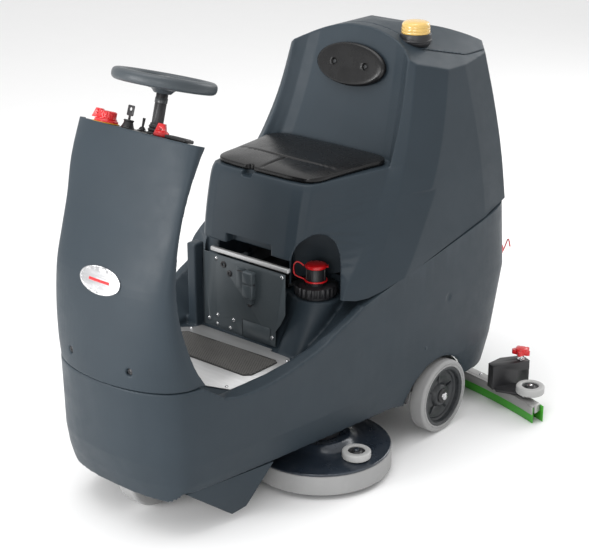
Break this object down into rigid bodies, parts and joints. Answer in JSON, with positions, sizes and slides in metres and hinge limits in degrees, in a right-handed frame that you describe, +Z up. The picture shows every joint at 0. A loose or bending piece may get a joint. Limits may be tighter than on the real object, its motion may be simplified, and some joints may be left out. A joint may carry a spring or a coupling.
{
  "type": "ride on scrubber",
  "caption": "Ride-on floor scrubber with steering tower, footwell, hinged seat tank, brush deck and rear squeegee.",
  "frame": {"origin": "centre of the bounding box at floor level", "axes": "+Z up; the machine faces -Y, so +Y runs to the rear squeegee; +X is the driver's left"},
  "size_m": [1.024, 1.3661, 1.1147],
  "materials": {
    "body_plastic": "fine satin texture",
    "black_plastic": "satin",
    "seat_vinyl": "satin",
    "steering_plastic": "fine satin texture",
    "deck_paint": "semi-gloss paint",
    "frame_paint": "satin paint",
    "panel_paint": "satin paint",
    "light_metal": "satin",
    "dark_mat": "perforated satin",
    "steel": "brushed",
    "grey_rubber": "matte",
    "white_nylon": "satin",
    "black_rim": "satin",
    "green_rubber": "satin",
    "red_plastic": "gloss",
    "amber_lens": "gloss translucent",
    "bristle": "matte",
    "battery_case": "matte",
    "silver_badge": "satin"
  },
  "bodies": {
    "chassis": {"chassis_frame": "frame_paint", "base_shell": "body_plastic", "side_guard_left": "body_plastic", "side_guard_right": "body_plastic", "steering_cowl": "body_plastic", "column_cover": "body_plastic", "console_panel": "black_plastic", "badge_plate": "silver_badge", "foot_plate": "light_metal", "foot_mat": "dark_mat", "access_panel": "panel_paint", "cross_bar": "light_metal", "charger_socket": "panel_paint", "battery_left": "battery_case", "battery_right": "battery_case", "filler_neck": "black_plastic", "filler_strap": "red_plastic", "display_block": "black_plastic", "rear_axle": "steel", "isolator_base": "red_plastic"},
    "steering": {"steering_wheel": "steering_plastic", "steering_column": "black_plastic"},
    "fork": {"front_fork": "frame_paint", "drive_motor": "black_plastic"},
    "drive_wheel": {"front_wheel": "grey_rubber"},
    "wheel_left": {"rear_tyre_left": "grey_rubber", "rear_rim_left": "black_rim"},
    "wheel_right": {"rear_tyre_right": "grey_rubber", "rear_rim_right": "black_rim"},
    "isolator": {"isolator_key": "red_plastic"},
    "key": {"ignition_key": "black_plastic"},
    "toggle": {"direction_toggle": "black_plastic"},
    "speed": {"speed_knob": "red_plastic"},
    "pedal": {"drive_pedal": "black_plastic"},
    "filler_lid": {"filler_cap": "red_plastic"},
    "drain_lid": {"rear_cap": "red_plastic"},
    "upper_tank": {"recovery_tank": "body_plastic", "backrest_pad": "seat_vinyl"},
    "seat": {"seat_lid": "seat_vinyl"},
    "lid": {"tank_lid": "body_plastic", "beacon_base": "black_plastic", "beacon_lens": "amber_lens"},
    "deck_arm": {"deck_lift_arms": "frame_paint"},
    "deck": {"deck_cover": "deck_paint", "deck_skirt": "grey_rubber", "brush_motor_left": "black_plastic", "brush_motor_right": "black_plastic"},
    "brush_l": {"brush_left": "bristle"},
    "brush_r": {"brush_right": "bristle"},
    "deck_roll_l": {"deck_roller_left": "white_nylon"},
    "deck_roll_r": {"deck_roller_right": "white_nylon"},
    "squeegee_link": {"squeegee_arm": "frame_paint"},
    "squeegee": {"squeegee_body": "black_plastic", "rear_blade": "green_rubber", "front_blade": "green_rubber", "suction_nozzle": "black_plastic"},
    "clamp_l": {"squeegee_knob_left": "red_plastic"},
    "clamp_r": {"squeegee_knob_right": "red_plastic"},
    "squeegee_roll_l": {"squeegee_roller_left": "white_nylon"},
    "squeegee_roll_r": {"squeegee_roller_right": "white_nylon"}
  },
  "joints": [
    {"name": "steering_turn", "type": "hinge", "parent": "chassis", "child": "steering", "pos_m": [0, -0.426, 1.067], "axis": [0, 0.2756, 0.9613], "range_deg": [-120, 120]},
    {"name": "fork_steer", "type": "hinge", "parent": "chassis", "child": "fork", "pos_m": [0, -0.509, 0.215], "axis": [0, 0, 1], "range_deg": [-60, 60]},
    {"name": "drive_wheel_spin", "type": "hinge", "parent": "fork", "child": "drive_wheel", "pos_m": [0, -0.509, 0.1], "axis": [1, 0, 0], "continuous": true},
    {"name": "wheel_left_spin", "type": "hinge", "parent": "chassis", "child": "wheel_left", "pos_m": [0.307, 0.283, 0.103], "axis": [1, 0, 0], "continuous": true},
    {"name": "wheel_right_spin", "type": "hinge", "parent": "chassis", "child": "wheel_right", "pos_m": [-0.307, 0.283, 0.103], "axis": [1, 0, 0], "continuous": true},
    {"name": "isolator_turn", "type": "hinge", "parent": "chassis", "child": "isolator", "pos_m": [-0.12, -0.50233, 0.96983], "axis": [0, 0.3219, 0.9468], "range_deg": [0, 90]},
    {"name": "key_turn", "type": "hinge", "parent": "chassis", "child": "key", "pos_m": [-0.064, -0.48279, 0.97481], "axis": [0, 0.3219, 0.9468], "range_deg": [0, 90]},
    {"name": "toggle_tip", "type": "hinge", "parent": "chassis", "child": "toggle", "pos_m": [-0.041, -0.46407, 0.95112], "axis": [1, 0, 0], "range_deg": [-12, 12], "stiffness_Nm_per_rad": 0.05},
    {"name": "speed_turn", "type": "hinge", "parent": "chassis", "child": "speed", "pos_m": [0.047, -0.48916, 0.95606], "axis": [0, 0.3219, 0.9468], "range_deg": [-135, 135]},
    {"name": "pedal_press", "type": "hinge", "parent": "chassis", "child": "pedal", "pos_m": [-0.105, -0.44, 0.352], "axis": [-1, 0, 0], "range_deg": [0, 15], "stiffness_Nm_per_rad": 1.5, "springref_deg": -8.59},
    {"name": "filler_cap_lift", "type": "slide", "parent": "chassis", "child": "filler_lid", "axis": [0, 0, 1], "range_m": [0, 0.03]},
    {"name": "rear_cap_pull", "type": "slide", "parent": "chassis", "child": "drain_lid", "axis": [0, 1, 0], "range_m": [0, 0.02]},
    {"name": "tank_tilt", "type": "hinge", "parent": "chassis", "child": "upper_tank", "pos_m": [0, 0.679, 0.604], "axis": [-1, 0, 0], "range_deg": [0, 60]},
    {"name": "seat_hinge", "type": "hinge", "parent": "upper_tank", "child": "seat", "pos_m": [0, 0.194, 0.7715], "axis": [-1, 0, 0], "range_deg": [0, 65]},
    {"name": "tank_lid_hinge", "type": "hinge", "parent": "upper_tank", "child": "lid", "pos_m": [0, 0.656, 0.965], "axis": [-1, 0, 0], "range_deg": [0, 60]},
    {"name": "deck_lift", "type": "hinge", "parent": "chassis", "child": "deck_arm", "pos_m": [0, -0.255, 0.185], "axis": [1, 0, 0], "range_deg": [0, 8]},
    {"name": "deck_level", "type": "hinge", "parent": "deck_arm", "child": "deck", "pos_m": [0, -0.1, 0.122], "axis": [1, 0, 0], "range_deg": [-8, 0]},
    {"name": "brush_left_spin", "type": "hinge", "parent": "deck", "child": "brush_l", "pos_m": [0.201, -0.095, 0.04], "axis": [0, 0, 1], "continuous": true},
    {"name": "brush_right_spin", "type": "hinge", "parent": "deck", "child": "brush_r", "pos_m": [-0.201, -0.095, 0.04], "axis": [0, 0, 1], "continuous": true},
    {"name": "deck_roller_left_spin", "type": "hinge", "parent": "deck", "child": "deck_roll_l", "pos_m": [0.334, -0.11, 0.0864], "axis": [0, 0, 1], "continuous": true},
    {"name": "deck_roller_right_spin", "type": "hinge", "parent": "deck", "child": "deck_roll_r", "pos_m": [-0.334, -0.11, 0.0864], "axis": [0, 0, 1], "continuous": true},
    {"name": "squeegee_lift", "type": "hinge", "parent": "chassis", "child": "squeegee_link", "pos_m": [0, 0.4, 0.165], "axis": [1, 0, 0], "range_deg": [0, 6]},
    {"name": "squeegee_swing", "type": "hinge", "parent": "squeegee_link", "child": "squeegee", "pos_m": [0, 0.467, 0.11], "axis": [0, 0, 1], "range_deg": [-12, 12]},
    {"name": "squeegee_clamp_left_turn", "type": "hinge", "parent": "squeegee", "child": "clamp_l", "pos_m": [0.379, 0.59, 0.125], "axis": [0, 0, 1], "continuous": true},
    {"name": "squeegee_clamp_right_turn", "type": "hinge", "parent": "squeegee", "child": "clamp_r", "pos_m": [-0.379, 0.59, 0.125], "axis": [0, 0, 1], "continuous": true},
    {"name": "squeegee_roller_left_spin", "type": "hinge", "parent": "squeegee", "child": "squeegee_roll_l", "pos_m": [0.449, 0.533, 0.0725], "axis": [0, 0, 1], "continuous": true},
    {"name": "squeegee_roller_right_spin", "type": "hinge", "parent": "squeegee", "child": "squeegee_roll_r", "pos_m": [-0.449, 0.533, 0.0725], "axis": [0, 0, 1], "continuous": true}
  ],
  "couplings": [
    {"joint": "fork_steer", "follows": "steering_turn", "ratio": 0.5},
    {"joint": "deck_level", "follows": "deck_lift", "ratio": -1}
  ]
}
